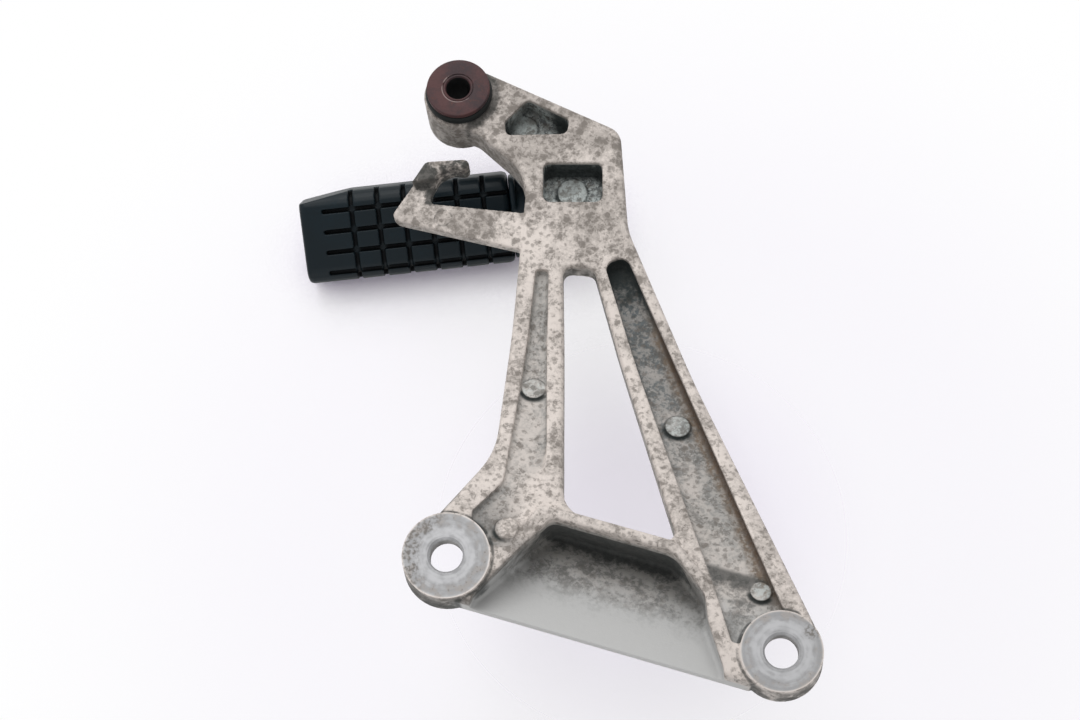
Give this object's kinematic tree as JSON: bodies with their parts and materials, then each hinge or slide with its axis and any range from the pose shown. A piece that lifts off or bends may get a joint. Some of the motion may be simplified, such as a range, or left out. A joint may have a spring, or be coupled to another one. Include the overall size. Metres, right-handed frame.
{
  "type": "motorcycle footrest hanger",
  "caption": "Cast aluminium footrest hanger with a bushed silencer boss, a luggage hook and a folding rubber-covered footpeg.",
  "frame": {"origin": "centre of the rear frame boss's machined face", "axes": "+X to the front frame boss, +Y towards the silencer boss, +Z out of the mounting faces, towards the motorcycle's frame"},
  "size_m": [0.225, 0.1975, 0.077],
  "materials": {
    "cast_aluminium": "weathered, as cast, with corrosion spots",
    "bush_rubber": "matt",
    "rusted_steel": "rusted",
    "black_steel": "black, worn",
    "zinc_plated_steel": "zinc plated, dull",
    "tread_rubber": "satin"
  },
  "bodies": {
    "hanger": {"hanger_casting": "cast_aluminium", "silencer_bush": "bush_rubber", "silencer_collar": "rusted_steel", "hinge_pin": "zinc_plated_steel", "hinge_washer": "zinc_plated_steel", "split_pin": "zinc_plated_steel"},
    "footpeg": {"peg_bar": "black_steel", "peg_rubber": "tread_rubber", "detent_ball": "zinc_plated_steel", "detent_spring": "zinc_plated_steel", "rubber_screw_inner": "zinc_plated_steel", "rubber_screw_outer": "zinc_plated_steel", "rubber_washer_inner": "zinc_plated_steel", "rubber_washer_outer": "zinc_plated_steel"}
  },
  "joints": [
    {"name": "footpeg_fold", "type": "hinge", "parent": "hanger", "child": "footpeg", "pos_m": [-0.009, 0.1513, -0.062], "axis": [0.3827, -0.9239, 0], "range_deg": [0, 90]}
  ]
}
